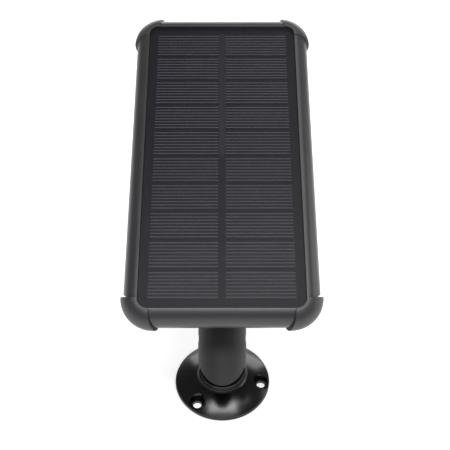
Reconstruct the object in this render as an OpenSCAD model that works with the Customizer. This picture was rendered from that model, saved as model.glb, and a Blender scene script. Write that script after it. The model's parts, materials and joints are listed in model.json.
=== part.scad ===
// Solar charging panel on a swivel bracket, for an outdoor camera.
// The origin is the centre of the base's underside. +Z leaves the wall or post,
// and the low edge of the panel faces -Y.

/* [Panel] */
// Width of the cover glass
glass_w = 87.6; // [86:0.2:100]
// Length of the cover glass
glass_l = 178.5; // [176:0.5:190]
// Corner radius of the cover glass
glass_r = 5.5; // [4:0.5:7]
// Radius of the half-round edge of the frame
edge_r = 8; // [7.6:0.1:8.4]
// How far the corner caps stand out beyond the frame
cap_proud = 1.6; // [1.3:0.1:2.4]
// Length and width of a corner cap at its front
cap_size = 15.5; // [15:0.5:22]
// Lean of a corner cap's end walls, in degrees
cap_lean = 17; // [0:1:20]
// Slope of the panel from the base's plane, in degrees
panel_slope = 25.5; // [10:0.5:40]

/* [Cells] */
// Number of solar cells, one above the other
cell_count = 10; // [4:1:10]
// Distance from one cell to the next
cell_pitch = 17; // [16:0.1:17.4]
// Length of a cell, across the panel
cell_w = 78; // [60:1:80]
// Height of a cell, along the panel
cell_l = 15.6; // [14:0.1:15.8]

/* [Arm] */
// Outer radius of the arm at its lower end
arm_r = 13.6; // [13.5:0.1:16]
// Outer radius of the arm at its upper end
arm_top_r = 13.3; // [13.2:0.1:15]
// Bore radius of the arm
arm_bore_r = 11.4; // [11.4:0.1:11.8]
// Distance from the tilt bolt to the panel's hinge bolt
arm_len = 94.5; // [85:0.5:120]
// Lean of the arm from the base's axis, in degrees
arm_lean = 57; // [30:1:80]
// Slant of the arm's lower end, in degrees
arm_cut = 54; // [45:1:56]
// Distance from the tilt bolt down the arm to the middle of the slanted end
cut_drop = 8; // [6.5:0.5:8.5]

/* [Base] */
// Radius of the round base
base_r = 28; // [27.5:0.5:40]
// Circle that the three screw holes lie on, as a diameter
hole_pcd = 46; // [44:0.5:46]
// Radius of each screw hole
hole_r = 2.5; // [2:0.1:3]
// Turn of the first screw hole from +X, in degrees
hole_turn = -9; // [-30:1:30]
// Height of the tilt bolt above the base's underside
pivot_z = 38.8; // [38:0.2:45]

/* [Hinge] */
// Distance from the rear of the panel down to the hinge bolt
hinge_drop = 16; // [16:0.5:24]
// Thickness of the tongue at the top of the arm
tongue_t = 11.4; // [8:0.2:12]
// Radius of the round ears and tongue
ear_r = 8; // [7:0.5:9]
// Thickness of each ear
ear_t = 4; // [3:0.5:5]

/* [Hidden] */
$fn = 64;
// Running clearance between a shaft and its hole, on the radius
fit = 0.05;
// Clearance between parts that move past each other
gap = 0.3;
// Length of a cutting tool that has to pass right through
far = 400;

// Panel: z = 0 is its front face, and mid_z the middle of its thickness
mid_z = -edge_r;
rear_z = -2 * edge_r;
glass_t = 2;
glass_top = -0.15;
cell_t = 0.3;
ribbon_t = 0.1;
ribbon_w = 3.8;
backing_t = 1.2;
seal_t = 0.4;
ribbon_top = glass_top - glass_t;
cell_top = ribbon_top - ribbon_t;
backing_top = cell_top - cell_t;
ledge_z = backing_top - backing_t - seal_t;
ledge_t = 1.25;
ledge_w = 8;
cell_shift = 0.4;

// Frame and caps
spine_r = edge_r + 0.1;
cap_shift = 1.2;
cap_r = edge_r + cap_proud - cap_shift;
cap_seat = 1;
// The seat's walls lean further than the cap's, so a wedge gap opens at the back
seat_lean = cap_lean + 9;
cap_screw_reach = 10.5;
spine_x = glass_w / 2 - spine_r;
spine_y = glass_l / 2 - spine_r;

// Rear cover
cover_inset = 2.6;
cover_t = 1.8;
cover_top = rear_z + 2;
cover_rim = 0.2;
rear_ledge = cover_top + seal_t;
post_x = glass_w / 2 - 6.3;
post_y = glass_l / 2 - 9.25;
post_r = 3.2;

// Charge board, on the rear cover's inner side
board_w = 46;
board_l = 24;
board_t = 1.2;
board_y = 45;
board_z = cover_top + 1.8;
board_top = board_z + board_t;
// The gland stands midway between the board and the frame's ledge
gland_x = (glass_w / 2 - ledge_w + board_w / 2) / 2;
gland_bore_r = 2.1;
gland_r = 4;
vent_r = 3;

// Hinge
ears_gap = tongue_t + 2 * (0.5 + gap);
ear_out = ears_gap / 2 + ear_t;
bolt_r = 2.5;
plate_t = 2.4;
plate_w = 38;
plate_low = -13;
plate_high = 19;
plate_screw_x = 14.5;
plate_screw_y = [-8, 14];
knob_t = 10;
knob_r = 8.4;
insert_t = 4;
insert_r = 4.2;

// Arm and swivel head
tube_top = arm_len - 17;
plug_len = 15;
ball_r = arm_bore_r - 0.4;
ball_flat = 8;
boss_face = ball_flat + 0.8;
tilt_bolt_r = 1.5;
stem_r = 6;
neck_r = 13.9;
neck_top_r = 12.9;
neck_z = 8.2;
neck_top = 12.3;
bush_t = 0.8;
shoulder_z = neck_top + bush_t + gap;
shoulder_t = 2.4;
shoulder_r = 10.6;
stem_bottom = 4.3;
recess_top = stem_bottom + gap;
recess_r = 9;
washer_t = 1.2;

// Base: the dome is a ball's cap through the rim and the foot of the neck
pad_t = 1;
rim_z = 2.4;
dome_mid = (base_r ^ 2 + rim_z ^ 2 - neck_r ^ 2 - neck_z ^ 2) / (2 * (rim_z - neck_z));
dome_r = sqrt(base_r ^ 2 + (rim_z - dome_mid) ^ 2);
counterbore_r = 4.5;
counterbore_z = 2;

// Where the panel's own frame sits, worked out along the arm and the hinge
hinge_y = arm_len * sin(arm_lean);
hinge_z = pivot_z + arm_len * cos(arm_lean);
panel_rise = 2 * edge_r + hinge_drop;
panel_y = hinge_y - panel_rise * sin(panel_slope);
panel_z = hinge_z + panel_rise * cos(panel_slope);

charcoal = "#3b3b3d";
gloss_black = "#161617";
zinc = "#a9acb0";

// ---- Frames that parts are drawn in ----

// The panel's frame: x across, y up the slope, z out of the glass
module in_panel() {
    translate([0, panel_y, panel_z]) rotate([panel_slope, 0, 0]) children();
}

// The arm's frame: the origin on the tilt bolt, z up the arm, -y its front
module in_arm() {
    translate([0, 0, pivot_z]) rotate([-arm_lean, 0, 0]) children();
}

// The hinge bolt's frame: x along the bolt, the rest as the panel's
module in_hinge() {
    in_panel() translate([0, 0, rear_z - hinge_drop]) children();
}

// ---- Shapes that repeat ----

module rounded(w, l, r) {
    square([w - 2 * r, l], center = true);
    square([w, l - 2 * r], center = true);
    for (x = [-1, 1], y = [-1, 1])
        translate([x * (w / 2 - r), y * (l / 2 - r)]) circle(r);
}

// A plate of the glass's outline, grown or shrunk by grow, from low to high
module glass_plate(grow, low, high) {
    translate([0, 0, low]) linear_extrude(high - low)
        rounded(glass_w + 2 * grow, glass_l + 2 * grow, max(glass_r + grow, 1));
}

// A ring of the glass's outline, between two amounts of grow
module glass_ring(outer, inner, low, high) {
    difference() {
        glass_plate(outer, low, high);
        glass_plate(inner, low - 1, high + 1);
    }
}

// A rod along x, from one x to another
module rod_x(from, to, r) {
    translate([from, 0, 0]) rotate([0, 90, 0]) cylinder(h = to - from, r = r);
}

// A six-sided rod along x
module hex_x(from, to, r) {
    translate([from, 0, 0]) rotate([0, 90, 0]) cylinder(h = to - from, r = r, $fn = 6);
}

// A slab with a half-round edge of radius r, whose middle line is shifted out
module soft_slab(shift, r) {
    x = spine_x + spine_r + shift;
    y = spine_y + spine_r + shift;
    translate([0, 0, mid_z]) {
        cube([2 * spine_x, 2 * y, 2 * r], center = true);
        cube([2 * x, 2 * spine_y, 2 * r], center = true);
        for (side = [-1, 1]) {
            translate([side * x, 0, 0]) rotate([90, 0, 0])
                cylinder(h = 2 * spine_y, r = r, center = true);
            translate([0, side * y, 0]) rotate([0, 90, 0])
                cylinder(h = 2 * spine_x, r = r, center = true);
        }
        for (sx = [-1, 1], sy = [-1, 1])
            translate([sx * spine_x, sy * spine_y, 0]) rotate_extrude() {
                translate([0, -r]) square([spine_r + shift, 2 * r]);
                translate([spine_r + shift, 0]) circle(r);
            }
    }
}

// The corner that a cap fills, its two walls leaning away from it towards the rear
module cap_zone(sx, sy, lean) {
    side = 60;
    x = glass_w / 2 + edge_r + cap_proud - cap_size;
    y = glass_l / 2 + edge_r + cap_proud - cap_size;
    intersection() {
        translate([sx * x, 0, 0]) rotate([0, sx * lean, 0])
            translate([sx > 0 ? 0 : -side, -far / 2, -side / 2]) cube([side, far, side]);
        translate([0, sy * y, 0]) rotate([-sy * lean, 0, 0])
            translate([-far / 2, sy > 0 ? 0 : -side, -side / 2]) cube([far, side, side]);
    }
}

// Places its children at the cap screws
module at_cap_screws() {
    for (sx = [-1, 1], sy = [-1, 1])
        translate([
            sx * (spine_x + cap_screw_reach * cos(45)),
            sy * (spine_y + cap_screw_reach * sin(45)), rear_z
        ]) children();
}

// Places its children at the six rear cover screws
module at_cover_screws() {
    for (x = [-1, 1], y = [-1, 0, 1])
        translate([x * post_x, y * post_y, 0]) children();
}

// Places its children at the four bracket screws
module at_bracket_screws() {
    for (x = [-1, 1], y = plate_screw_y)
        translate([x * plate_screw_x, y, rear_z]) children();
}

// Places its children at the two charge board screws
module at_board_screws() {
    for (x = [-1, 1])
        translate([x * (board_w / 2 - 3), board_y - board_l / 2 + 3, 0]) children();
}

// A countersunk screw, its head flush at z = 0 and its shank upwards
module countersunk(head_r, head_h, shank_r, length) {
    difference() {
        union() {
            cylinder(h = head_h, r1 = head_r, r2 = shank_r);
            cylinder(h = length, r = shank_r);
        }
        for (a = [0, 90])
            rotate(a) cube([head_r * 1.1, head_r * 0.25, head_h * 0.9], center = true);
    }
}

// Places its children at the three base screw holes
module at_base_holes() {
    for (i = [0:2])
        rotate(hole_turn + 120 * i) translate([hole_pcd / 2, 0, 0]) children();
}

// ---- Base ----

module base_flange() {
    color(gloss_black) difference() {
        union() {
            intersection() {
                translate([0, 0, dome_mid]) sphere(dome_r);
                translate([0, 0, pad_t]) cylinder(h = 30, r = base_r);
            }
            cylinder(h = neck_z, r = neck_r);
            translate([0, 0, neck_z]) cylinder(h = neck_top - neck_z, r1 = neck_r, r2 = neck_top_r);
        }
        translate([0, 0, -1]) cylinder(h = pad_t + 1, r = 2 * base_r);
        translate([0, 0, -1]) cylinder(h = recess_top + 1, r = recess_r);
        cylinder(h = 30, r = stem_r + fit);
        at_base_holes() {
            translate([0, 0, -1]) cylinder(h = 20, r = hole_r);
            translate([0, 0, counterbore_z]) cylinder(h = 20, r = counterbore_r);
        }
    }
}

module base_pad() {
    color("#202022") difference() {
        cylinder(h = pad_t, r = base_r - 0.6);
        translate([0, 0, -1]) cylinder(h = 3, r = recess_r + 0.5);
        at_base_holes() translate([0, 0, -1]) cylinder(h = 3, r = hole_r);
    }
}

module swivel_bush() {
    color("#1b1b1c") translate([0, 0, neck_top]) difference() {
        cylinder(h = bush_t, r = shoulder_r - 0.4);
        translate([0, 0, -1]) cylinder(h = 4, r = stem_r + fit);
    }
}

// ---- Swivel head: pans in the base, and the arm tilts on its ball ----

module swivel_head() {
    color(gloss_black) difference() {
        union() {
            translate([0, 0, stem_bottom]) cylinder(h = pivot_z - stem_bottom, r = stem_r);
            translate([0, 0, shoulder_z]) cylinder(h = shoulder_t, r = shoulder_r);
            translate([0, 0, shoulder_z + shoulder_t])
                cylinder(h = 5, r1 = shoulder_r, r2 = ball_flat);
            intersection() {
                translate([0, 0, pivot_z]) sphere(ball_r);
                translate([-ball_flat, -ball_r, pivot_z - ball_r])
                    cube([2 * ball_flat, 2 * ball_r, 2 * ball_r]);
            }
            translate([0, 0, shoulder_z + shoulder_t + 5])
                cylinder(h = pivot_z - shoulder_z - shoulder_t - 5, r = ball_flat - 0.2);
        }
        translate([0, 0, pivot_z]) rod_x(-20, 20, tilt_bolt_r + fit);
        translate([0, 0, stem_bottom - 1]) cylinder(h = 13, r = 1.9);
    }
}

module swivel_washer() {
    color(zinc) translate([0, 0, stem_bottom - washer_t]) difference() {
        cylinder(h = washer_t, r = recess_r - 0.5);
        translate([0, 0, -1]) cylinder(h = 4, r = 2.1);
    }
}

module swivel_screw() {
    head_z = stem_bottom - washer_t;
    color(zinc) difference() {
        union() {
            translate([0, 0, head_z - 1.9]) cylinder(h = 1.9, r = 3.6);
            translate([0, 0, head_z]) cylinder(h = 11, r = 1.85);
        }
        for (a = [0, 90])
            translate([0, 0, head_z - 1.9]) rotate(a) cube([4.4, 0.9, 2], center = true);
    }
}

// ---- Arm ----

module arm_tube() {
    low = -cut_drop - arm_r * tan(arm_cut) - 1;
    color(charcoal) in_arm() difference() {
        union() {
            difference() {
                translate([0, 0, low]) cylinder(h = tube_top - low, r1 = arm_r, r2 = arm_top_r);
                translate([0, 0, low - 1]) cylinder(h = far, r = arm_bore_r);
            }
            for (side = [-1, 1]) intersection() {
                rod_x(min(side * boss_face, side * arm_r), max(side * boss_face, side * arm_r), 5.5);
                translate([0, 0, -10]) cylinder(h = 20, r = arm_bore_r + 0.5);
            }
        }
        rod_x(-20, 20, tilt_bolt_r);
        rod_x(10.6, 20, 2.9);
        hex_x(-20, -10.6, 3.2);
        translate([0, 0, -cut_drop]) rotate([arm_cut, 0, 0])
            translate([-50, -50, -100]) cube(100);
        for (side = [-1, 1])
            translate([side * 20, 0, tube_top - plug_len / 2]) rod_x(-20, 20, 1.25);
    }
}

module arm_tongue() {
    flange_t = 2;
    color(charcoal) in_arm() difference() {
        union() {
            translate([0, 0, tube_top - plug_len]) cylinder(h = plug_len, r = arm_bore_r - fit);
            translate([0, 0, tube_top]) cylinder(h = flange_t, r = arm_top_r - 0.1);
            translate([-tongue_t / 2, -ear_r, tube_top])
                cube([tongue_t, 2 * ear_r, arm_len - tube_top]);
            translate([0, 0, arm_len]) rod_x(-tongue_t / 2, tongue_t / 2, ear_r);
        }
        translate([0, 0, arm_len]) rod_x(-20, 20, bolt_r + fit);
        translate([0, 0, tube_top - plug_len / 2]) rod_x(-20, 20, 1.25);
    }
}

// Two short screws across the top of the tube, which hold the tongue
module tongue_screws() {
    color(zinc) in_arm() translate([0, 0, tube_top - plug_len / 2]) {
        rod_x(4, arm_top_r - 0.6, 1.2);
        rod_x(-arm_top_r + 0.6, -4, 1.2);
    }
}

module tilt_bolt() {
    color(zinc) in_arm() difference() {
        union() {
            rod_x(-13, 12.9, tilt_bolt_r - 0.001);
            rod_x(10.6, 12.9, 2.8);
        }
        hex_x(11.6, 14, 1.4);
    }
}

module tilt_nut() {
    color(zinc) in_arm() difference() {
        hex_x(-12.8, -10.6, 3.15);
        rod_x(-20, 0, tilt_bolt_r);
    }
}

module tilt_washers() {
    color("#d8d5cc") in_arm() for (side = [-1, 1]) difference() {
        rod_x(side * (boss_face - 0.25) - 0.25, side * (boss_face - 0.25) + 0.25, 4.4);
        rod_x(-20, 20, tilt_bolt_r);
    }
}

// ---- Hinge behind the panel ----

module hinge_bracket() {
    color(charcoal) in_panel() difference() {
        union() {
            translate([-plate_w / 2, plate_low, rear_z - plate_t])
                cube([plate_w, plate_high - plate_low, plate_t]);
            for (side = [-1, 1]) translate([side * (ear_out - ear_t / 2), 0, 0]) {
                translate([-ear_t / 2, -ear_r, rear_z - hinge_drop])
                    cube([ear_t, 2 * ear_r, hinge_drop]);
                translate([0, 0, rear_z - hinge_drop]) rod_x(-ear_t / 2, ear_t / 2, ear_r);
            }
        }
        translate([0, 0, rear_z - hinge_drop]) rod_x(-20, 20, bolt_r);
        at_bracket_screws() translate([0, 0, -plate_t]) {
            translate([0, 0, -1]) cylinder(h = 5, r = 1.5);
            cylinder(h = 1.6, r1 = 3, r2 = 1.5);
        }
    }
}

module bracket_screws() {
    color(zinc) in_panel() at_bracket_screws()
        translate([0, 0, -plate_t]) countersunk(2.9, 1.6, 1.45, 8.5);
}

module hinge_bolt() {
    color(zinc) in_hinge() {
        hex_x(-ear_out - 3.6, -ear_out, 4.6);
        rod_x(-ear_out, ear_out + gap + insert_t + 3, bolt_r - 0.001);
    }
}

module hinge_washers() {
    color("#d8d5cc") in_hinge() for (side = [-1, 1]) difference() {
        rod_x(side * (ears_gap / 2 - 0.25) - 0.25, side * (ears_gap / 2 - 0.25) + 0.25, 7);
        rod_x(-20, 20, bolt_r);
    }
}

module hinge_knob() {
    start = ear_out + gap;
    lobes = 6;
    color("#232325") in_hinge() difference() {
        union() {
            rod_x(start, start + 2, 6.5);
            rod_x(start + 2, start + knob_t, knob_r);
        }
        for (i = [0:lobes - 1]) rotate([i * 360 / lobes, 0, 0])
            translate([0, 0, knob_r + 1.6]) rod_x(start + 1, start + knob_t + 1, 3);
        rod_x(start - 1, start + knob_t - 1.6, bolt_r + 0.25);
        hex_x(start - 1, start + insert_t, insert_r);
    }
}

module knob_insert() {
    start = ear_out + gap;
    color("#b08d4a") in_hinge() difference() {
        hex_x(start, start + insert_t, insert_r);
        rod_x(start - 1, start + 10, bolt_r + fit);
    }
}

// ---- Frame, cover and caps ----

module front_frame() {
    color(charcoal) in_panel() difference() {
        union() {
            difference() {
                soft_slab(0, edge_r);
                for (sx = [-1, 1], sy = [-1, 1]) cap_zone(sx, sy, seat_lean);
                glass_plate(3.4, rear_ledge + ledge_t, ledge_z - ledge_t);
            }
            difference() {
                soft_slab(0, edge_r - cap_seat);
                glass_plate(3.4, rear_ledge + ledge_t, ledge_z - ledge_t);
            }
            at_cover_screws() translate([0, 0, rear_ledge])
                cylinder(h = ledge_z - rear_ledge, r = post_r);
        }
        glass_plate(0.05, ledge_z, 5);
        difference() {
            glass_plate(-ledge_w, -30, 5);
            at_cover_screws() translate([0, 0, -30]) cylinder(h = 30, r = post_r);
        }
        glass_plate(cover_rim - cover_inset, -30, rear_ledge);
        at_cover_screws() translate([0, 0, rear_ledge - 1]) cylinder(h = 6, r = 1.15);
        at_cap_screws() translate([0, 0, -3]) cylinder(h = 9, r = 1.05);
    }
}

module rear_cover() {
    color("#2e2e30") in_panel() difference() {
        union() {
            glass_plate(-cover_inset, cover_top - cover_t, cover_top);
            at_board_screws() translate([0, 0, cover_top - 0.5])
                cylinder(h = board_z - cover_top + 0.5, r = 2.6);
            at_bracket_screws() translate([0, 0, cover_top - rear_z - 0.5])
                cylinder(h = 5, r = 3.4);
        }
        at_cover_screws() translate([0, 0, cover_top - cover_t - 1]) {
            cylinder(h = 6, r = 1.15);
            cylinder(h = 2.2, r1 = 3.5, r2 = 1.15);
        }
        at_bracket_screws() translate([0, 0, -1]) cylinder(h = 7.4, r = 1.5);
        at_board_screws() translate([0, 0, cover_top - 0.6]) cylinder(h = 4, r = 0.95);
        translate([gland_x, board_y, -30]) cylinder(h = 30, r = gland_r);
        translate([-gland_x, board_y, -30]) cylinder(h = 30, r = vent_r);
    }
}

module rear_seal() {
    color("#202022") in_panel() difference() {
        glass_ring(-cover_inset, -cover_inset - 2, cover_top, rear_ledge);
        at_cover_screws() translate([0, 0, -30]) cylinder(h = 30, r = 1.4);
    }
}

module cover_screws() {
    color(zinc) in_panel() at_cover_screws()
        translate([0, 0, cover_top - cover_t]) countersunk(2.2, 1.1, 1.1, 7);
}

module glass_seal() {
    color("#202022") in_panel() glass_ring(-0.3, -4, ledge_z, ledge_z + seal_t);
}

module corner_cap(sx, sy) {
    color("#3f3f41") in_panel() difference() {
        intersection() {
            soft_slab(cap_shift, cap_r);
            cap_zone(sx, sy, cap_lean);
        }
        soft_slab(0, edge_r - cap_seat);
        glass_plate(0.05, -30, 5);
        at_cap_screws() {
            translate([0, 0, -3]) cylinder(h = 9, r = 1.05);
            translate([0, 0, -3]) cylinder(h = 3.8, r = 2.1);
        }
    }
}

module cap_screws() {
    color(zinc) in_panel() at_cap_screws() {
        translate([0, 0, -0.1]) cylinder(h = 0.9, r = 2);
        translate([0, 0, 0.8]) cylinder(h = 5, r = 1);
    }
}

// ---- Glass, cells and backing ----

module cover_glass() {
    color("#22222a") in_panel() glass_plate(0, ribbon_top, glass_top);
}

module bus_ribbon() {
    color("#1d1b24") in_panel()
        translate([-ribbon_w / 2, -glass_l / 2 + 4, cell_top])
        cube([ribbon_w, glass_l - 8, ribbon_t]);
}

module backing_board() {
    color("#26262a") in_panel() glass_plate(-0.3, backing_top - backing_t, backing_top);
}

module solar_cell(i) {
    y = cell_shift + (cell_count + 1 - 2 * i) / 2 * cell_pitch;
    color("#2b2a33") in_panel()
        translate([-cell_w / 2, y - cell_l / 2, backing_top]) cube([cell_w, cell_l, cell_t]);
}

// ---- Charge electronics ----

module charge_board() {
    color("#1f5a35") in_panel() difference() {
        translate([-board_w / 2, board_y - board_l / 2, board_z]) cube([board_w, board_l, board_t]);
        at_board_screws() translate([0, 0, -30]) cylinder(h = 30, r = 1.1);
    }
}

module board_screws() {
    color(zinc) in_panel() at_board_screws() {
        translate([0, 0, board_top]) cylinder(h = 1.3, r = 1.9);
        translate([0, 0, board_z - 1.8]) cylinder(h = board_t + 1.8, r = 0.9);
    }
}

module inductor() {
    color("#4a4a4c") in_panel() translate([8, board_y + 4, board_top]) difference() {
        translate([-3.5, -3.5, 0]) cube([7, 7, 3.2]);
        translate([0, 0, 2.6]) cylinder(h = 2, r = 2.4);
    }
}

module capacitors() {
    color("#8a8d92") in_panel() for (x = [-1, 7.5])
        translate([x - 4, board_y - 6, board_top]) cylinder(h = 3.6, r = 2.6);
}

module regulator_chip() {
    color("#18181a") in_panel()
        translate([-3, board_y + 2, board_top]) cube([5, 4, 1.1]);
}

module blocking_diode() {
    color("#18181a") in_panel()
        translate([14, board_y - 7, board_top]) cube([2.7, 4.3, 2]);
}

module terminal_block() {
    color("#e6e4dc") in_panel() translate([-20, board_y + 3, board_top]) difference() {
        cube([8, 6, 4]);
        for (x = [2, 6]) translate([x, 3, 2]) cylinder(h = 3, r = 0.8);
    }
}

module lead_wires() {
    color("#8c2020") in_panel() for (x = [2, 6])
        translate([x - 20, board_y + 6, board_top + 2])
        cylinder(h = backing_top - backing_t - board_top - 2, r = 0.7);
}

module cable_gland() {
    color("#1b1b1c") in_panel() translate([gland_x, board_y, rear_z]) difference() {
        union() {
            translate([0, 0, -0.6]) cylinder(h = 6.5, r = gland_r - 0.001);
            translate([0, 0, -3.8]) cylinder(h = 3.2, r = 6.4, $fn = 6);
            translate([0, 0, -8]) cylinder(h = 4.2, r = 5.1);
            translate([0, 0, -9.6]) cylinder(h = 1.6, r1 = 3.6, r2 = 5.1);
        }
        translate([0, 0, -20]) cylinder(h = 40, r = gland_bore_r);
    }
}

module gland_seal() {
    color("#202022") in_panel() translate([gland_x, board_y, rear_z - 0.6]) difference() {
        cylinder(h = 0.8, r = 5.6);
        translate([0, 0, -1]) cylinder(h = 3, r = gland_r);
    }
}

module gland_nut() {
    color("#1b1b1c") in_panel() translate([gland_x, board_y, cover_top]) difference() {
        cylinder(h = 2.6, r = 5.8, $fn = 6);
        translate([0, 0, -1]) cylinder(h = 6, r = gland_r);
    }
}

module breather_vent() {
    color("#2a2a2c") in_panel() translate([-gland_x, board_y, rear_z]) {
        translate([0, 0, -0.8]) cylinder(h = 1, r = 4.4);
        cylinder(h = 3.4, r = vent_r - 0.001);
    }
}

// ---- Parts ----

base_flange();
base_pad();
swivel_bush();
swivel_head();
swivel_washer();
swivel_screw();
arm_tube();
arm_tongue();
tongue_screws();
tilt_bolt();
tilt_nut();
tilt_washers();
hinge_bracket();
bracket_screws();
hinge_bolt();
hinge_washers();
hinge_knob();
knob_insert();
front_frame();
rear_cover();
rear_seal();
cover_screws();
glass_seal();
corner_cap(-1, -1);  // cap_low_left
corner_cap(1, -1);  // cap_low_right
corner_cap(-1, 1);  // cap_high_left
corner_cap(1, 1);  // cap_high_right
cap_screws();
cover_glass();
bus_ribbon();
backing_board();
for (i = [1:cell_count])
    solar_cell(i);
charge_board();
board_screws();
inductor();
capacitors();
regulator_chip();
blocking_diode();
terminal_block();
lead_wires();
cable_gland();
gland_seal();
gland_nut();
breather_vent();
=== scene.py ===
"""Looks for a solar charging panel on a swivel bracket, modelled around its CAD frame."""

import json
import math

import bpy
from mathutils import Matrix, Vector

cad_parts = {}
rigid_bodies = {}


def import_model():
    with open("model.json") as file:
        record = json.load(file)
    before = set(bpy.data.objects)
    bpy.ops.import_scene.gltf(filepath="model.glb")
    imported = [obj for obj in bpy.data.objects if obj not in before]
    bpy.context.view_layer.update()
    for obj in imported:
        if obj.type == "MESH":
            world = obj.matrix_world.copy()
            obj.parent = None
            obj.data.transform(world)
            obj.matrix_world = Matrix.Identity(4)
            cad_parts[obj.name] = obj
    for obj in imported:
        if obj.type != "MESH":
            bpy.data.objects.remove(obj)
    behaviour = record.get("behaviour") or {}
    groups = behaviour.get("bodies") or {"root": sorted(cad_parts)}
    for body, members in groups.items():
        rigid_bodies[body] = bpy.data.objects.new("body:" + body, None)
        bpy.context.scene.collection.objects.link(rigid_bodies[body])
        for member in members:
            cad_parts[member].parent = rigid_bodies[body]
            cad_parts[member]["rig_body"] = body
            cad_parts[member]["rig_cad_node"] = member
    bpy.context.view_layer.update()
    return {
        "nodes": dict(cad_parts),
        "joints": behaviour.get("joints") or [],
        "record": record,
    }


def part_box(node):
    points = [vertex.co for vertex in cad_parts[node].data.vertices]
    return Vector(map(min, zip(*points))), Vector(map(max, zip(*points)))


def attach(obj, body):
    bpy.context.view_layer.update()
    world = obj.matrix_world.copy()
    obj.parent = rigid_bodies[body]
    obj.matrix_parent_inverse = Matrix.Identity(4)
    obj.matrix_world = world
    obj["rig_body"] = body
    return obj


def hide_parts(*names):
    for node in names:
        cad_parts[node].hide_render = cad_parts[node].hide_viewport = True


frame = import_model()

bl_info = {
    "name": "Solar charging panel",
    "version": (1, 0, 0),
    "blender": (4, 5, 0),
    "location": "View3D > Sidebar > Solar panel",
    "description": "Models the frame, glass, arm and base of a camera's solar panel",
    "category": "Object",
}

MM = 0.001

# Places that come from the frame: the two pivots, and the middle of the glass
JOINTS = {joint["name"]: Vector(joint["pos_m"]) for joint in frame["joints"]}
PIVOT = JOINTS["arm_tilt"]
HINGE = JOINTS["panel_tilt"]
GLASS_MIDDLE = sum(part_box("cover_glass"), Vector()) / 2

# The panel's own frame: x across, y up the slope, z out of the glass's front
PANEL_NORMAL = (GLASS_MIDDLE - HINGE).normalized()
PANEL_SLOPE = math.atan2(-PANEL_NORMAL.y, PANEL_NORMAL.z)
GLASS_MIDDLE_DEPTH = 1.15 * MM
PANEL = (
    Matrix.Translation(GLASS_MIDDLE + PANEL_NORMAL * GLASS_MIDDLE_DEPTH)
    @ Matrix.Rotation(PANEL_SLOPE, 4, "X")
)

# The arm's own frame: the tilt bolt at the origin, z up the arm, -y its front
ARM_LENGTH = (HINGE - PIVOT).length
ARM_LEAN = math.atan2(HINGE.y - PIVOT.y, HINGE.z - PIVOT.z)
ARM = Matrix.Translation(PIVOT) @ Matrix.Rotation(-ARM_LEAN, 4, "X")


def linear(code):
    """An sRGB hex colour as linear red, green and blue."""
    channels = [int(code[i:i + 2], 16) / 255 for i in (1, 3, 5)]
    return [c / 12.92 if c <= 0.04045 else ((c + 0.055) / 1.055) ** 2.4 for c in channels]


def length(name, description, millimetres):
    """A length property, its default given in millimetres."""
    return bpy.props.FloatProperty(
        name=name, description=description, default=millimetres * MM, min=0, unit="LENGTH"
    )


def angle(name, description, degrees):
    """An angle property, its default given in degrees."""
    return bpy.props.FloatProperty(
        name=name, description=description, default=math.radians(degrees), subtype="ANGLE"
    )


def colour(name, description, code):
    """A colour property, its default given as an sRGB hex colour."""
    return bpy.props.FloatVectorProperty(
        name=name, description=description, default=linear(code), size=3,
        min=0, max=1, subtype="COLOR"
    )


class SolarSizes(bpy.types.PropertyGroup):
    """Sizes of the pieces that are modelled here."""

    glass_width: length("Glass width", "Width of the cover glass", 87.6)
    glass_length: length("Glass length", "Length of the cover glass", 178.5)
    glass_corner: length("Glass corner", "Corner radius of the cover glass", 5.5)
    edge: length("Edge radius", "Radius of the frame's half-round edge", 8.0)
    corner: length("Corner radius", "Radius of the frame's corner at its flat top", 8.1)
    cap_size: length("Cap size", "Length of a corner cap along the frame, at its front", 15.5)
    cap_proud: length("Cap proud", "How far a cap stands out from the frame", 1.6)
    cap_lean: angle("Cap lean", "Lean of a cap's end walls", 17)
    seat_lean: angle("Seat lean", "Lean of the walls of the seat that a cap sits in", 26)
    cap_seat: length("Cap seat", "Depth of the seat that a cap sits in", 1.0)
    cell_pitch: length("Cell pitch", "Distance from one cell to the next", 17.0)
    cell_width: length("Cell width", "Width of a cell's printed lines", 77.2)
    finger_pitch: length("Finger pitch", "Distance between printed lines", 1.93)
    finger_width: length("Finger width", "Width of one printed line", 0.65)
    ribbon_width: length("Ribbon width", "Width of the tape down the middle", 3.8)
    arm_radius: length("Arm radius", "Radius of the arm at its lower end", 13.6)
    arm_top_radius: length("Arm top radius", "Radius of the arm at its upper end", 13.3)
    arm_bore: length("Arm bore", "Radius of the arm's bore", 11.4)
    base_radius: length("Base radius", "Radius of the round base", 28.0)
    hole_circle: length("Hole circle", "Diameter of the screw hole circle", 46.0)


class SolarColours(bpy.types.PropertyGroup):
    """Colours of the materials."""

    frame: colour("Frame", "Charcoal polycarbonate of frame and caps", "#3a3a3c")
    arm: colour("Arm", "Charcoal polycarbonate of the arm", "#383838")
    base: colour("Base", "Gloss black ABS of base and swivel", "#0e0e0f")
    silicon: colour("Silicon", "Blue-black silicon of the cells", "#1b1828")
    finger: colour("Finger", "Grey of the printed silver lines", "#a6a4b1")
    glass: colour("Glass", "Tint of the cover glass", "#161321")
    floor: colour("Floor", "Pale studio floor", "#f4f4f4")


# ---- Mesh tools ----


def clear_selection():
    """Leaves edit mode and selects nothing."""
    if bpy.context.object and bpy.context.object.mode != "OBJECT":
        bpy.ops.object.mode_set(mode="OBJECT")
    bpy.ops.object.select_all(action="DESELECT")


def pick(piece):
    """Makes piece the only selected object, and the active one."""
    clear_selection()
    piece.select_set(True)
    bpy.context.view_layer.objects.active = piece


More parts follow.
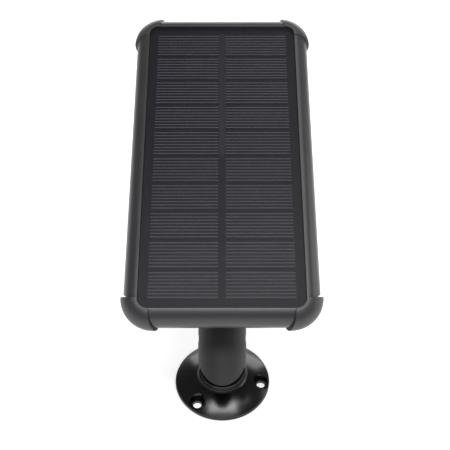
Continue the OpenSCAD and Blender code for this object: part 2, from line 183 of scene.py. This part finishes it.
def named(name):
    """The primitive that was just added, renamed, its size put into its mesh."""
    piece = bpy.context.object
    piece.name = piece.data.name = name
    bpy.ops.object.transform_apply(location=True, rotation=True, scale=True)
    return piece


def block(name, low, high):
    """A box between two corners."""
    clear_selection()
    low, high = Vector(low), Vector(high)
    bpy.ops.mesh.primitive_cube_add(size=1, location=(low + high) / 2, scale=high - low)
    return named(name)


def rod(name, radius, start, end, sides=64):
    """A closed cylinder from one point to another."""
    clear_selection()
    start, end = Vector(start), Vector(end)
    turn = (end - start).to_track_quat("Z", "Y").to_euler()
    bpy.ops.mesh.primitive_cylinder_add(
        vertices=sides, radius=radius, depth=(end - start).length,
        location=(start + end) / 2, rotation=turn
    )
    return named(name)


def edge_bevel(piece, test, width, segments):
    """Bevels the edges whose two ends pass test, in edit mode."""
    pick(piece)
    bpy.ops.object.mode_set(mode="EDIT")
    bpy.ops.mesh.select_mode(type="EDGE")
    bpy.ops.mesh.select_all(action="DESELECT")
    bpy.ops.object.mode_set(mode="OBJECT")
    points = piece.data.vertices
    for edge in piece.data.edges:
        edge.select = test(*[points[i].co for i in edge.vertices])
    bpy.ops.object.mode_set(mode="EDIT")
    bpy.ops.mesh.bevel(offset=width, segments=segments, profile=0.5, affect="EDGES")
    bpy.ops.object.mode_set(mode="OBJECT")


def modify(piece, kind, **settings):
    """Adds one modifier with its settings and applies it."""
    pick(piece)
    bpy.ops.object.modifier_add(type=kind)
    modifier = piece.modifiers[-1]
    for key, value in settings.items():
        setattr(modifier, key, value)
    bpy.ops.object.modifier_apply(modifier=modifier.name)


def combine(piece, tool, operation="DIFFERENCE"):
    """Cuts, joins or trims piece with tool, and removes the tool."""
    modify(piece, "BOOLEAN", operation=operation, object=tool, solver="EXACT")
    bpy.data.objects.remove(tool)


def clean(piece, merge=0.004 * MM, flat=0.4):
    """Merges stray points and melts flat areas into single faces."""
    pick(piece)
    bpy.ops.object.mode_set(mode="EDIT")
    bpy.ops.mesh.select_all(action="SELECT")
    bpy.ops.mesh.remove_doubles(threshold=merge)
    bpy.ops.mesh.dissolve_limited(angle_limit=math.radians(flat))
    bpy.ops.mesh.normals_make_consistent(inside=False)
    bpy.ops.object.mode_set(mode="OBJECT")


def soften(piece, width, segments=2, angle=32):
    """Rounds every sharp edge a little, as a mould does."""
    modify(
        piece, "BEVEL", width=width, segments=segments, limit_method="ANGLE",
        angle_limit=math.radians(angle), use_clamp_overlap=True, harden_normals=False
    )


def lathe(name, outline, steps=96, closed=False):
    """Spins an outline of (radius, height) points about Z into a shell."""
    clear_selection()
    bpy.ops.mesh.primitive_plane_add(size=MM)
    piece = named(name)
    bpy.ops.object.mode_set(mode="EDIT")
    bpy.ops.mesh.select_mode(type="VERT")
    bpy.ops.mesh.select_all(action="SELECT")
    bpy.ops.mesh.merge(type="CENTER")
    places = [Vector((radius, 0, height)) for radius, height in outline]
    bpy.ops.transform.translate(value=places[0])
    for before, after in zip(places, places[1:]):
        bpy.ops.mesh.extrude_region_move(TRANSFORM_OT_translate={"value": after - before})
    if closed:
        bpy.ops.mesh.select_all(action="DESELECT")
        bpy.ops.object.mode_set(mode="OBJECT")
        for i in (0, len(places) - 1):
            piece.data.vertices[i].select = True
        bpy.ops.object.mode_set(mode="EDIT")
        bpy.ops.mesh.edge_face_add()
    bpy.ops.mesh.select_all(action="SELECT")
    bpy.ops.mesh.spin(steps=steps, angle=2 * math.pi, center=(0, 0, 0), axis=(0, 0, 1))
    bpy.ops.mesh.select_all(action="SELECT")
    bpy.ops.mesh.remove_doubles(threshold=0.002 * MM)
    bpy.ops.mesh.normals_make_consistent(inside=False)
    bpy.ops.object.mode_set(mode="OBJECT")
    return piece


def arc(centre, radius, start, end, steps):
    """Points on an arc, as (radius, height) pairs, angles in degrees."""
    turns = [math.radians(start + (end - start) * i / steps) for i in range(steps + 1)]
    return [(centre[0] + radius * math.cos(t), centre[1] + radius * math.sin(t)) for t in turns]


def settle(piece, place, body, slot, finish, *nodes):
    """Puts a finished piece in the row frame, on its body and in its material."""
    piece.matrix_world = place
    pick(piece)
    bpy.ops.object.transform_apply(location=True, rotation=True, scale=True)
    bpy.ops.object.shade_smooth_by_angle(angle=math.radians(30))
    modify(piece, "WEIGHTED_NORMAL", keep_sharp=True)
    piece.data.materials.clear()
    piece.data.materials.append(finish)
    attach(piece, body)
    if nodes:
        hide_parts(*nodes)


def softened_copy(node, width, body, slot, finish):
    """A copy of a CAD node with its sharp edges rounded, which stands for it."""
    source = frame["nodes"][node]
    piece = source.copy()
    piece.data = source.data.copy()
    piece.parent = None
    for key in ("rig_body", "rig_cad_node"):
        del piece[key]
    bpy.context.scene.collection.objects.link(piece)
    piece.name = piece.data.name = node + "_moulded"
    clean(piece, 0.002 * MM, 1.0)
    soften(piece, width, 2, 40)
    settle(piece, Matrix(), body, slot, finish, node)
    return piece


# ---- Materials ----


def add_node(tree, kind, settings=None, links=None):
    """Adds one node, sets its properties and sockets, and links its inputs."""
    node = tree.nodes.new(kind)
    for key, value in (settings or {}).items():
        if isinstance(key, int) or key in node.inputs:
            node.inputs[key].default_value = value
        else:
            setattr(node, key, value)
    for key, source in (links or {}).items():
        tree.links.new(source, node.inputs[key])
    return node


def new_material(name):
    """A material with only a Principled shader and its output."""
    material = bpy.data.materials.new(name)
    material.use_nodes = True
    tree = material.node_tree
    return material, tree, tree.nodes["Principled BSDF"]


def moulded(name, rgb, roughness, grain, depth, mottle=0.12, specular=0.5):
    """Moulded plastic with a spark-eroded grain, its width and depth in millimetres."""
    material, tree, shader = new_material(name)
    place = add_node(tree, "ShaderNodeTexCoord")
    fine = add_node(
        tree, "ShaderNodeTexNoise",
        {"Scale": 1 / (grain * MM), "Detail": 3.0, "Roughness": 0.6},
        {"Vector": place.outputs["Object"]}
    )
    broad = add_node(
        tree, "ShaderNodeTexNoise", {"Scale": 1 / (22 * MM), "Detail": 2.0},
        {"Vector": place.outputs["Object"]}
    )
    shade = add_node(
        tree, "ShaderNodeMapRange", {"To Min": 1 - mottle, "To Max": 1 + mottle},
        {"Value": broad.outputs["Fac"]}
    )
    tint = add_node(
        tree, "ShaderNodeVectorMath", {"operation": "SCALE", 0: tuple(rgb)},
        {"Scale": shade.outputs["Result"]}
    )
    gloss = add_node(
        tree, "ShaderNodeMapRange",
        {"To Min": roughness - 0.05, "To Max": roughness + 0.05}, {"Value": fine.outputs["Fac"]}
    )
    bump = add_node(
        tree, "ShaderNodeBump", {"Strength": 0.35, "Distance": depth * MM},
        {"Height": fine.outputs["Fac"]}
    )
    tree.links.new(tint.outputs["Vector"], shader.inputs["Base Color"])
    tree.links.new(gloss.outputs["Result"], shader.inputs["Roughness"])
    tree.links.new(bump.outputs["Normal"], shader.inputs["Normal"])
    shader.inputs["IOR"].default_value = 1.55
    shader.inputs["Specular IOR Level"].default_value = specular
    return material


def metal(name, rgb, roughness, grain):
    """Plated or turned metal with tool marks, in millimetres, that vary its gloss."""
    material, tree, shader = new_material(name)
    place = add_node(tree, "ShaderNodeTexCoord")
    marks = add_node(
        tree, "ShaderNodeTexNoise", {"Scale": 1 / (grain * MM), "Detail": 4.0},
        {"Vector": place.outputs["Object"]}
    )
    gloss = add_node(
        tree, "ShaderNodeMapRange",
        {"To Min": roughness - 0.08, "To Max": roughness + 0.1}, {"Value": marks.outputs["Fac"]}
    )
    bump = add_node(
        tree, "ShaderNodeBump", {"Strength": 0.2, "Distance": 0.03 * MM},
        {"Height": marks.outputs["Fac"]}
    )
    tree.links.new(gloss.outputs["Result"], shader.inputs["Roughness"])
    tree.links.new(bump.outputs["Normal"], shader.inputs["Normal"])
    shader.inputs["Base Color"].default_value = (*rgb, 1)
    shader.inputs["Metallic"].default_value = 1.0
    return material


def silicon(name, rgb):
    """Monocrystalline silicon under a blue nitride coat: nearly black, a little uneven."""
    material, tree, shader = new_material(name)
    place = add_node(tree, "ShaderNodeTexCoord")
    cloud = add_node(
        tree, "ShaderNodeTexNoise", {"Scale": 1 / (9 * MM), "Detail": 2.0},
        {"Vector": place.outputs["Object"]}
    )
    shade = add_node(
        tree, "ShaderNodeMapRange", {"To Min": 0.8, "To Max": 1.25},
        {"Value": cloud.outputs["Fac"]}
    )
    tint = add_node(
        tree, "ShaderNodeVectorMath", {"operation": "SCALE", 0: tuple(rgb)},
        {"Scale": shade.outputs["Result"]}
    )
    tree.links.new(tint.outputs["Vector"], shader.inputs["Base Color"])
    shader.inputs["Roughness"].default_value = 0.35
    return material


def solar_glass(name, rgb):
    """Low-iron solar glass with a rolled satin face: it shows the cells and a soft sheen."""
    material, tree, shader = new_material(name)
    place = add_node(tree, "ShaderNodeTexCoord")
    rolled = add_node(
        tree, "ShaderNodeTexNoise", {"Scale": 1 / (0.6 * MM), "Detail": 2.0},
        {"Vector": place.outputs["Object"]}
    )
    gloss = add_node(
        tree, "ShaderNodeMapRange", {"To Min": 0.36, "To Max": 0.46},
        {"Value": rolled.outputs["Fac"]}
    )
    tree.links.new(gloss.outputs["Result"], shader.inputs["Roughness"])
    shader.inputs["Base Color"].default_value = (*rgb, 1)
    shader.inputs["IOR"].default_value = 1.5
    shader.inputs["Specular IOR Level"].default_value = 0.25
    shader.inputs["Alpha"].default_value = 0.36
    return material


def make_materials(tones):
    """One material for each of the record's slots, and the pieces added here."""
    steel = linear("#9fa2a6")
    return {
        # Spark-eroded polycarbonate: satin, with a fine even grain
        "frame_plastic": moulded("charcoal_polycarbonate", tones.frame, 0.34, 0.55, 0.04),
        # The same charcoal in a softer finish, so its highlights are wider
        "cap_plastic": moulded("charcoal_bumper", tones.frame, 0.41, 0.5, 0.05),
        # The arm's grain is coarser and duller than the frame's
        "arm_plastic": moulded(
            "matte_charcoal_arm", tones.arm, 0.62, 0.6, 0.05, specular=0.3
        ),
        # The deepest grain of the moulded parts, which hides its flat area's ripples
        "cover_plastic": moulded("matte_rear_cover", linear("#2b2b2d"), 0.55, 0.6, 0.08),
        # Polished mould: clear highlights, hardly any grain
        "black_gloss_plastic": moulded(
            "gloss_black_abs", tones.base, 0.20, 1.2, 0.004, mottle=0.1
        ),
        # Moulded nylon: satin, with a slight sheen on its round edges
        "knob_plastic": moulded("satin_black_knob", linear("#1a1a1b"), 0.42, 0.4, 0.04),
        "black_nylon": moulded("moulded_black_nylon", linear("#151516"), 0.38, 0.5, 0.03),
        # Undyed nylon: milky, and even in tone
        "nylon": moulded("natural_nylon", linear("#d9d4c8"), 0.45, 0.5, 0.02, 0.04),
        # Closed-cell foam: open pores that catch almost no light
        "foam_rubber": moulded("closed_cell_foam", linear("#17171a"), 0.9, 0.8, 0.25),
        # Extruded silicone: soft sheen, saturated red
        "wire_sleeve": moulded("silicone_sleeve", linear("#8b1f1f"), 0.4, 0.5, 0.02),
        # Coated tape and woven laminate: dark, and dull beside the cells
        "ribbon_tape": moulded("dark_ribbon_tape", linear("#16141d"), 0.5, 0.7, 0.02),
        "backing_laminate": moulded("black_fibreglass", linear("#16151c"), 0.5, 0.6, 0.02),
        # Lacquered board and moulded epoxy: one glossy, one powdery
        "circuit_board": moulded("green_solder_mask", linear("#17502f"), 0.3, 0.6, 0.02),
        "component_black": moulded("moulded_epoxy", linear("#1c1c1d"), 0.6, 0.3, 0.03),
        # Nitride-coated silicon under satin glass: violet black, with a soft sheen
        "silicon_cell": silicon("monocrystalline_silicon", tones.silicon),
        "cover_glass": solar_glass("satin_solar_glass", tones.glass),
        # Zinc plate, turned brass and drawn aluminium: clear metal with fine tool marks
        "zinc_steel": metal("zinc_plated_steel", steel, 0.35, 0.7),
        "brass": metal("turned_brass", linear("#b5924c"), 0.3, 0.5),
        "capacitor_can": metal("drawn_aluminium", linear("#c4c6c9"), 0.3, 0.6),
        # Screen-printed silver paste: pale grey, and matte because it is sintered powder
        "finger": moulded("printed_silver_paste", tones.finger, 0.6, 0.3, 0.01, 0.06),
    }


FINISHES = {}


class SOLAR_OT_finishes(bpy.types.Operator):
    """Make the materials and give each CAD node the one its slot names"""

    bl_idname = "solar.finishes"
    bl_label = "Finishes"

    def execute(self, context):
        FINISHES.update(make_materials(context.scene.solar_colours))
        for part in frame["record"]["subparts"]:
            node = frame["nodes"][part["node"]]
            node.data.materials.clear()
            node.data.materials.append(FINISHES[part["material_slot"]])
        return {"FINISHED"}


# ---- Panel ----


def glass_block(sizes, name, grow, low, high):
    """A plate of the glass's outline, its corners rounded."""
    x = sizes.glass_width / 2 + grow
    y = sizes.glass_length / 2 + grow
    plate = block(name, (-x, -y, low), (x, y, high))
    upright = lambda a, b: abs(a.z - b.z) > (high - low) / 2
    edge_bevel(plate, upright, max(sizes.glass_corner + grow, 1 * MM), 10)
    return plate


def soft_slab(sizes, name, shift, radius):
    """A slab with rounded corners and a half-round edge, the frame's outer form."""
    middle = -sizes.edge
    x = sizes.glass_width / 2 + shift + radius
    y = sizes.glass_length / 2 + shift + radius
    slab = block(name, (-x, -y, middle - radius), (x, y, middle + radius))
    upright = lambda a, b: abs(a.z - b.z) > radius
    edge_bevel(slab, upright, sizes.corner + shift + radius, 20)
    level = lambda a, b: abs(a.z - b.z) < 0.01 * MM
    edge_bevel(slab, level, radius * 0.999, 14)
    return slab


def cap_block(sizes, name, side, end, lean):
    """The corner that a cap fills, its inner walls leaning away towards the back."""
    x = sizes.glass_width / 2 + sizes.edge + sizes.cap_proud - sizes.cap_size
    y = sizes.glass_length / 2 + sizes.edge + sizes.cap_proud - sizes.cap_size
    reach, front, back = 40 * MM, 2 * MM, -20 * MM
    low = (min(side * x, side * (x + reach)), min(end * y, end * (y + reach)), back)
    high = (max(side * x, side * (x + reach)), max(end * y, end * (y + reach)), front)
    corner = block(name, low, high)
    for point in corner.data.vertices:
        shift = point.co.z * math.tan(lean)
        if abs(point.co.x) < x + MM:
            point.co.x += side * shift
        if abs(point.co.y) < y + MM:
            point.co.y += end * shift
    return corner


CORNERS = {
    "cap_low_left": (-1, -1),
    "cap_low_right": (1, -1),
    "cap_high_left": (-1, 1),
    "cap_high_right": (1, 1),
}


class SOLAR_OT_frame(bpy.types.Operator):
    """Model the one-piece frame with its half-round edge and cap seats"""

    bl_idname = "solar.frame"
    bl_label = "Frame"

    def execute(self, context):
        sizes = context.scene.solar_sizes
        shell = soft_slab(sizes, "frame_shell", 0, sizes.edge)
        for side, end in CORNERS.values():
            seat = cap_block(sizes, "seat", side, end, sizes.seat_lean)
            combine(seat, soft_slab(sizes, "core", 0, sizes.edge - sizes.cap_seat))
            combine(shell, seat)
        above, below = 5 * MM, -30 * MM
        ledge, rear_ledge, wall = -4.15 * MM, 2.4 * MM - 2 * sizes.edge, 1.25 * MM
        ledge_width, cover_gap, channel_reach = 8 * MM, 2.4 * MM, 3.4 * MM
        post_x, post_y, post_radius, pilot_radius = 37.5 * MM, 80 * MM, 3.2 * MM, 1.15 * MM
        combine(shell, glass_block(sizes, "pocket", 0.05 * MM, ledge, above))
        combine(shell, glass_block(sizes, "window", -ledge_width, below, above))
        combine(shell, glass_block(sizes, "rear_pocket", -cover_gap, below, rear_ledge))
        low, high = rear_ledge + wall, ledge - wall
        combine(shell, glass_block(sizes, "channel", channel_reach, low, high))
        for x in (-1, 1):
            for y in (-1, 0, 1):
                # The post stops just inside both ledges, so no two faces lie in one plane
                foot = Vector((x * post_x, y * post_y, rear_ledge + 0.02 * MM))
                top = Vector((foot.x, foot.y, ledge - 0.02 * MM))
                combine(shell, rod("post", post_radius, foot, top, 32), "UNION")
                down, up = foot - Vector((0, 0, MM)), foot + Vector((0, 0, 5 * MM))
                combine(shell, rod("pilot", pilot_radius, down, up, 24))
        clean(shell)
        soften(shell, 0.25 * MM, 2, 35)
        settle(shell, PANEL, "panel", "frame_plastic", FINISHES["frame_plastic"], "front_frame")
        return {"FINISHED"}


class SOLAR_OT_caps(bpy.types.Operator):
    """Model the four corner caps"""

    bl_idname = "solar.caps"
    bl_label = "Corner caps"

    def execute(self, context):
        sizes = context.scene.solar_sizes
        shift = 1.2 * MM
        for node, (side, end) in CORNERS.items():
            cap = soft_slab(sizes, node + "_shell", shift, sizes.edge + sizes.cap_proud - shift)
            combine(cap, cap_block(sizes, "zone", side, end, sizes.cap_lean), "INTERSECT")
            combine(cap, soft_slab(sizes, "core", 0, sizes.edge - sizes.cap_seat))
            combine(cap, glass_block(sizes, "window", 0.05 * MM, -30 * MM, 5 * MM))
            clean(cap)
            soften(cap, 0.3 * MM, 3, 35)
            settle(cap, PANEL, "panel", "cap_plastic", FINISHES["cap_plastic"], node)
        return {"FINISHED"}


class SOLAR_OT_glass(bpy.types.Operator):
    """Model the cover glass and the printed lines on the cells under it"""

    bl_idname = "solar.glass"
    bl_label = "Glass and cells"

    def execute(self, context):
        sizes = context.scene.solar_sizes
        top = -0.15 * MM
        under = top - 2 * MM
        pane = glass_block(sizes, "glass_pane", 0, under, top)
        soften(pane, 0.12 * MM, 2, 60)
        settle(pane, PANEL, "panel", "cover_glass", FINISHES["cover_glass"], "cover_glass")

        fingers_each = 8
        rows = 10
        inner = sizes.ribbon_width / 2 + 0.2 * MM
        outer = sizes.cell_width / 2
        first = 76.9 * MM + (fingers_each - 1) / 2 * sizes.finger_pitch
        half = sizes.finger_width / 2
        bar = block(
            "cell_fingers", (inner, first - half, under - 0.09 * MM),
            (outer, first + half, under - 0.01 * MM)
        )
        soften(bar, 0.03 * MM, 1, 60)
        repeat(bar, fingers_each, (0, -sizes.finger_pitch, 0))
        repeat(bar, rows, (0, -sizes.cell_pitch, 0))
        repeat(bar, 2, (-inner - outer, 0, 0))
        settle(bar, PANEL, "panel", "silicon_cell", FINISHES["finger"])
        return {"FINISHED"}


def repeat(piece, count, step):
    """Copies piece along a line into one mesh."""
    modify(
        piece, "ARRAY", count=count, use_relative_offset=False,
        use_constant_offset=True, constant_offset_displace=step
    )


# ---- Base, swivel and arm ----


class SOLAR_OT_base(bpy.types.Operator):
    """Model the domed base with its neck and three counterbored screw holes"""

    bl_idname = "solar.base"
    bl_label = "Base"

    def execute(self, context):
        sizes = context.scene.solar_sizes
        rim, rim_top, foot = sizes.base_radius, 2.4 * MM, 1.0 * MM
        neck, neck_foot, neck_top = 13.9 * MM, 8.2 * MM, 12.3 * MM
        # The dome's middle, from the two points it passes through
        middle = (rim**2 + rim_top**2 - neck**2 - neck_foot**2) / (2 * (rim_top - neck_foot))
        dome = math.hypot(rim, rim_top - middle)
        start = math.degrees(math.atan2(rim_top - middle, rim - 0.5 * MM))
        end = math.degrees(math.atan2(neck_foot - middle, neck + 0.9 * MM))
        bore, recess, recess_top = 6.05 * MM, 9.0 * MM, 4.6 * MM
        outline = [(bore, recess_top), (recess, recess_top), (recess, foot)]
        outline += [(rim - 0.3 * MM, foot)]
        outline += arc((rim - 0.5 * MM, foot + 0.5 * MM), 0.5 * MM, -60, 0, 3)
        outline += arc((rim - 0.7 * MM, rim_top - 0.9 * MM), 0.7 * MM, 0, 50, 4)
        outline += arc((0, middle), dome, start, end, 28)
        outline += arc((neck + 0.9 * MM, neck_foot + 1.0 * MM), 0.9 * MM, 250, 180, 5)
        outline += arc((neck - 0.8 * MM, neck_top - 0.3 * MM), 0.3 * MM, 20, 90, 4)
        outline += [(bore, neck_top)]
        shell = lathe("base_dome", outline, 128, closed=True)
        for i in range(3):
            turn = math.radians(-9 + 120 * i)
            spot = Vector((math.cos(turn), math.sin(turn), 0)) * sizes.hole_circle / 2
            up = Vector((0, 0, 20 * MM))
            combine(shell, rod("through", 2.5 * MM, spot - up, spot + up))
            floor = spot + Vector((0, 0, 2.0 * MM))
            combine(shell, rod("counterbore", 4.5 * MM, floor, floor + up))
        clean(shell, 0.003 * MM, 0.2)
        soften(shell, 0.3 * MM, 3, 40)
        slot = "black_gloss_plastic"
        settle(shell, Matrix(), "base", slot, FINISHES[slot], "base_flange")
        return {"FINISHED"}


class SOLAR_OT_swivel(bpy.types.Operator):
    """Model the swivel head: shoulder, waist and the ball that the arm tilts on"""

    bl_idname = "solar.swivel"
    bl_label = "Swivel head"

    def execute(self, context):
        low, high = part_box("swivel_head")
        ball = 11.0 * MM
        shoulder, shoulder_foot = 10.6 * MM, 13.4 * MM
        waist = 7.8 * MM
        outline = [(0, low.z), (6.0 * MM, low.z), (6.0 * MM, shoulder_foot)]
        outline += [(shoulder - 0.5 * MM, shoulder_foot)]
        outline += arc((shoulder - 0.5 * MM, shoulder_foot + 0.5 * MM), 0.5 * MM, -60, 0, 4)
        outline += arc((shoulder - 0.9 * MM, shoulder_foot + 1.5 * MM), 0.9 * MM, 0, 60, 5)
        outline += arc((waist + 4.0 * MM, shoulder_foot + 6.6 * MM), 4.0 * MM, 235, 180, 8)
        meet = math.degrees(math.acos(waist / ball))
        outline += arc((0, PIVOT.z), ball, -meet, 90, 28)
        head = lathe("swivel_ball", outline, 96)
        for side in (-1, 1):
            flat, far = 8.0 * MM, 20 * MM
            low_x, high_x = sorted((side * flat, side * far))
            combine(head, block("flat", (low_x, -far, 24 * MM), (high_x, far, high.z + far)))
        clean(head, 0.003 * MM, 0.2)
        slot = "black_gloss_plastic"
        settle(head, Matrix(), "swivel", slot, FINISHES[slot], "swivel_head")
        return {"FINISHED"}


class SOLAR_OT_arm(bpy.types.Operator):
    """Model the arm tube with its slanted lower end and the tilt bolt's pockets"""

    bl_idname = "solar.arm"
    bl_label = "Arm"

    def execute(self, context):
        sizes = context.scene.solar_sizes
        slant, drop = math.radians(54), 8 * MM
        foot = -drop - sizes.arm_radius * math.tan(slant) - MM
        top = ARM_LENGTH - 17 * MM
        tube = rod("arm_shell", sizes.arm_radius, (0, 0, foot), (0, 0, top), 128)
        for point in tube.data.vertices:
            if point.co.z > 0:
                point.co.xy *= sizes.arm_top_radius / sizes.arm_radius
        combine(tube, rod("bore", sizes.arm_bore, (0, 0, foot - MM), (0, 0, top + MM), 96))
        wedge = block("wedge", (-50 * MM, -50 * MM, -100 * MM), (50 * MM, 50 * MM, 0))
        wedge.matrix_world = Matrix.Translation((0, 0, -drop)) @ Matrix.Rotation(slant, 4, "X")
        combine(tube, wedge)
        reach = 20 * MM
        combine(tube, rod("head_pocket", 2.9 * MM, (10.6 * MM, 0, 0), (reach, 0, 0), 48))
        combine(tube, rod("nut_pocket", 3.2 * MM, (-reach, 0, 0), (-10.6 * MM, 0, 0), 6))
        clean(tube, 0.003 * MM, 0.2)
        soften(tube, 0.45 * MM, 3, 40)
        settle(tube, ARM, "arm", "arm_plastic", FINISHES["arm_plastic"], "arm_tube")
        return {"FINISHED"}


# Moulded and turned parts that keep their CAD form, with the edge radius of each
SOFTENED = {
    "arm_tongue": ("arm", 0.5 * MM),
    "hinge_bracket": ("panel", 0.4 * MM),
    "hinge_bolt": ("panel", 0.25 * MM),
    "hinge_knob": ("knob", 0.5 * MM),
    "rear_cover": ("panel", 0.3 * MM),
    "cable_gland": ("panel", 0.3 * MM),
    "breather_vent": ("panel", 0.25 * MM),
}


class SOLAR_OT_fittings(bpy.types.Operator):
    """Round the edges of the hinge, rear cover and gland"""

    bl_idname = "solar.fittings"
    bl_label = "Fittings"

    def execute(self, context):
        slots = {part["node"]: part["material_slot"] for part in frame["record"]["subparts"]}
        for node, (body, width) in SOFTENED.items():
            softened_copy(node, width, body, slots[node], FINISHES[slots[node]])
        return {"FINISHED"}


# ---- Stage ----


def softbox(name, place, target, size, power):
    """A soft rectangular studio light that faces target."""
    clear_selection()
    turn = (Vector(place) - Vector(target)).to_track_quat("Z", "Y").to_euler()
    bpy.ops.object.light_add(type="AREA", location=place, rotation=turn)
    lamp = bpy.context.object
    lamp.name = name
    lamp.data.shape = "RECTANGLE"
    lamp.data.size, lamp.data.size_y = size
    lamp.data.energy = power


class SOLAR_OT_stage(bpy.types.Operator):
    """Set the camera, the soft lights and a pale floor"""

    bl_idname = "solar.stage"
    bl_label = "Stage"

    def execute(self, context):
        scene = context.scene
        clear_selection()
        bpy.ops.object.camera_add(
            location=(0.0012, -0.2685, 0.3548),
            rotation=(math.radians(90 - 40.73), 0, math.radians(-0.08))
        )
        camera = bpy.context.object
        camera.name = "camera"
        camera.data.lens = 58.1
        camera.data.clip_start = 0.01
        scene.camera = camera

        clear_selection()
        bpy.ops.mesh.primitive_plane_add(size=6, location=(0, 0, 0))
        floor = named("floor")
        material, tree, shader = new_material("pale_floor")
        pale = (*scene.solar_colours.floor, 1)
        shader.inputs["Base Color"].default_value = pale
        shader.inputs["Roughness"].default_value = 0.9
        shader.inputs["Emission Color"].default_value = pale
        shader.inputs["Emission Strength"].default_value = 0.7
        floor.data.materials.append(material)

        # Each light's place, its target, its width and depth, and its power in watts
        softbox("overhead", (0, -0.27, 1.25), (0, 0.02, 0.1), (0.8, 0.28), 6.2)
        softbox("front_fill", (0, -0.75, 1.05), (0, 0, 0.1), (0.9, 0.5), 1)
        softbox("top_fill", (0.3, 0.25, 1.3), (0, 0.05, 0.1), (1.0, 0.6), 3.2)
        softbox("right_fill", (1.2, 0.1, 0.55), (0, 0.06, 0.1), (0.8, 0.7), 3)
        softbox("back_fill", (0.1, 1.3, 0.5), (0, 0.1, 0.1), (1.6, 0.6), 9)

        world = bpy.data.worlds.new("studio")
        world.use_nodes = True
        tree = world.node_tree
        place = add_node(tree, "ShaderNodeTexCoord")
        split = add_node(
            tree, "ShaderNodeSeparateXYZ", links={"Vector": place.outputs["Generated"]}
        )
        # Paler near the horizon, as a curved backdrop is
        glow = add_node(
            tree, "ShaderNodeMapRange",
            {"From Min": 0.0, "From Max": 0.3, "To Min": 0.8, "To Max": 0.14},
            {"Value": split.outputs["Z"]}
        )
        back = tree.nodes["Background"]
        back.inputs["Color"].default_value = (0.97, 0.98, 1.0, 1)
        tree.links.new(glow.outputs["Result"], back.inputs["Strength"])
        scene.world = world
        scene.view_settings.view_transform = "Standard"
        return {"FINISHED"}


class SOLAR_PT_panel(bpy.types.Panel):
    """Lists the pieces in the 3D view's sidebar"""

    bl_idname = "SOLAR_PT_panel"
    bl_label = "Solar panel"
    bl_space_type = "VIEW_3D"
    bl_region_type = "UI"
    bl_category = "Solar panel"

    def draw(self, context):
        for operator in OPERATORS:
            self.layout.operator(operator.bl_idname)
        for group in (context.scene.solar_sizes, context.scene.solar_colours):
            for key in group.__annotations__:
                self.layout.prop(group, key)


OPERATORS = (
    SOLAR_OT_finishes, SOLAR_OT_stage, SOLAR_OT_frame, SOLAR_OT_caps, SOLAR_OT_glass,
    SOLAR_OT_base, SOLAR_OT_swivel, SOLAR_OT_arm, SOLAR_OT_fittings,
)
CLASSES = (SolarSizes, SolarColours, *OPERATORS, SOLAR_PT_panel)


def register():
    for each in CLASSES:
        bpy.utils.register_class(each)
    bpy.types.Scene.solar_sizes = bpy.props.PointerProperty(type=SolarSizes)
    bpy.types.Scene.solar_colours = bpy.props.PointerProperty(type=SolarColours)


def unregister():
    del bpy.types.Scene.solar_colours
    del bpy.types.Scene.solar_sizes
    for each in reversed(CLASSES):
        bpy.utils.unregister_class(each)


def main():
    """Registers the add-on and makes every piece."""
    register()
    for operator in OPERATORS:
        group, action = operator.bl_idname.split(".")
        getattr(getattr(bpy.ops, group), action)()
    clear_selection()


if __name__ == "__main__":
    main()
